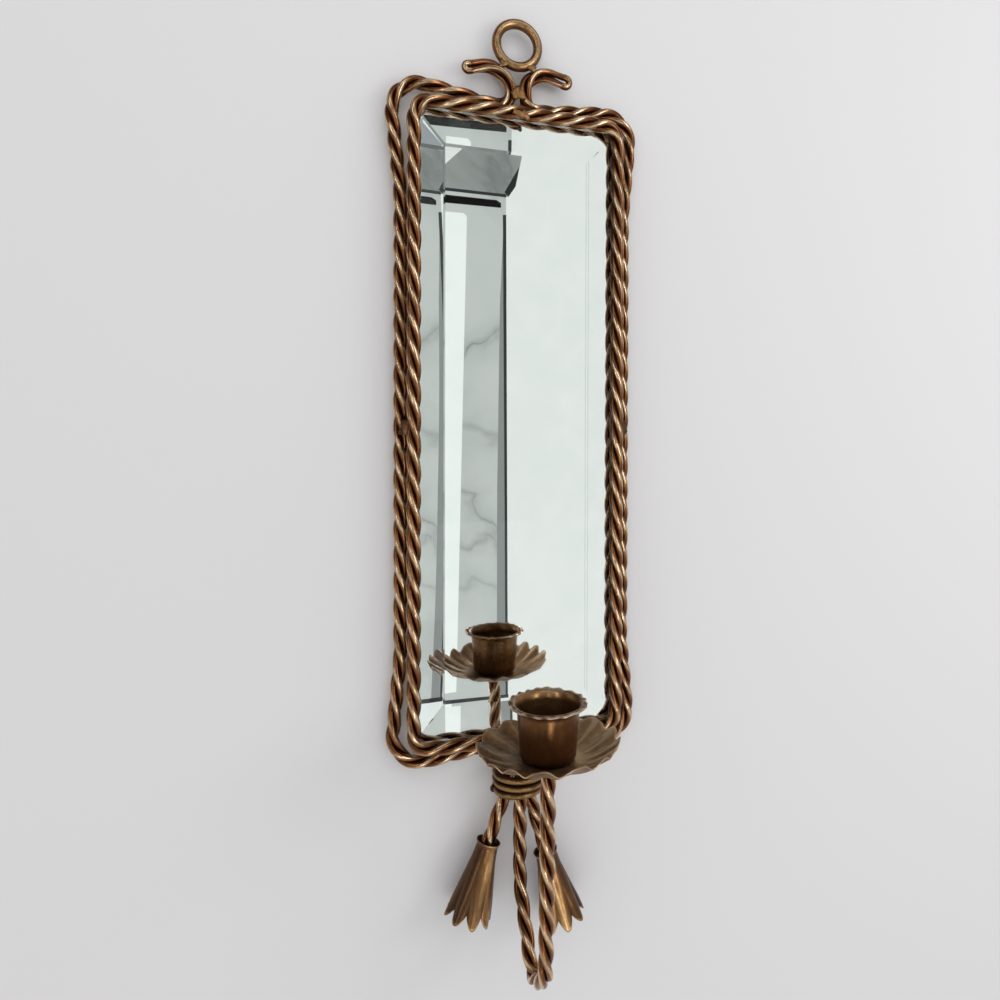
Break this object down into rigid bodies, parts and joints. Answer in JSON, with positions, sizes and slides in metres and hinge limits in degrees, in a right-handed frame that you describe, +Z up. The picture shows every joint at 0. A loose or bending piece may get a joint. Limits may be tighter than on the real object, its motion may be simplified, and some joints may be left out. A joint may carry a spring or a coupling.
{
  "type": "mirrored candle sconce",
  "caption": "Tall bevelled wall mirror framed by a double rope of twisted bronze rods, with a hanging ring, tassels and a rope arm that holds a candle cup over a ruffled drip dish.",
  "frame": {"origin": "centre of the hanging ring's hole, in the plane of the ring", "axes": "+Z up along the mirror, +X to the right as seen from the front, +Y towards the wall"},
  "size_m": [0.2149, 0.1571, 0.7656],
  "materials": {
    "rod_bronze": "antique gold-bronze, rubbed bright on the high places",
    "weld_metal": "the same antique bronze over lumpy weld metal",
    "wire_bronze": "antique gold-bronze",
    "dish_bronze": "dull antique bronze, darker in the hollows",
    "screw_brass": "aged brass",
    "tassel_bronze": "antique gold-bronze, rubbed bright on the flutes",
    "mirror_glass": "silvered plate glass with a polished bevel",
    "backing_board": "plain brown hardboard",
    "tray_steel": "dark bronze paint, satin"
  },
  "bodies": {
    "root": {"inner_rod_1": "rod_bronze", "inner_rod_2": "rod_bronze", "inner_rod_3": "rod_bronze", "outer_left_rod_1": "rod_bronze", "outer_left_rod_2": "rod_bronze", "outer_left_rod_3": "rod_bronze", "outer_right_rod_1": "rod_bronze", "outer_right_rod_2": "rod_bronze", "outer_right_rod_3": "rod_bronze", "arm_rod_1": "rod_bronze", "arm_rod_2": "rod_bronze", "arm_rod_3": "rod_bronze", "hanging_ring": "rod_bronze", "ring_welds": "weld_metal", "finial_weld": "weld_metal", "top_weld": "weld_metal", "side_weld_left": "weld_metal", "side_weld_right": "weld_metal", "binding_wire": "wire_bronze", "arm_boss": "dish_bronze", "drip_dish": "dish_bronze", "candle_cup": "dish_bronze", "cup_screw": "screw_brass", "tassel_left": "tassel_bronze", "tassel_right": "tassel_bronze", "tassel_plug_left": "dish_bronze", "tassel_plug_right": "dish_bronze", "mirror_glass": "mirror_glass", "backing_board": "backing_board", "mirror_tray": "tray_steel"}
  },
  "joints": []
}
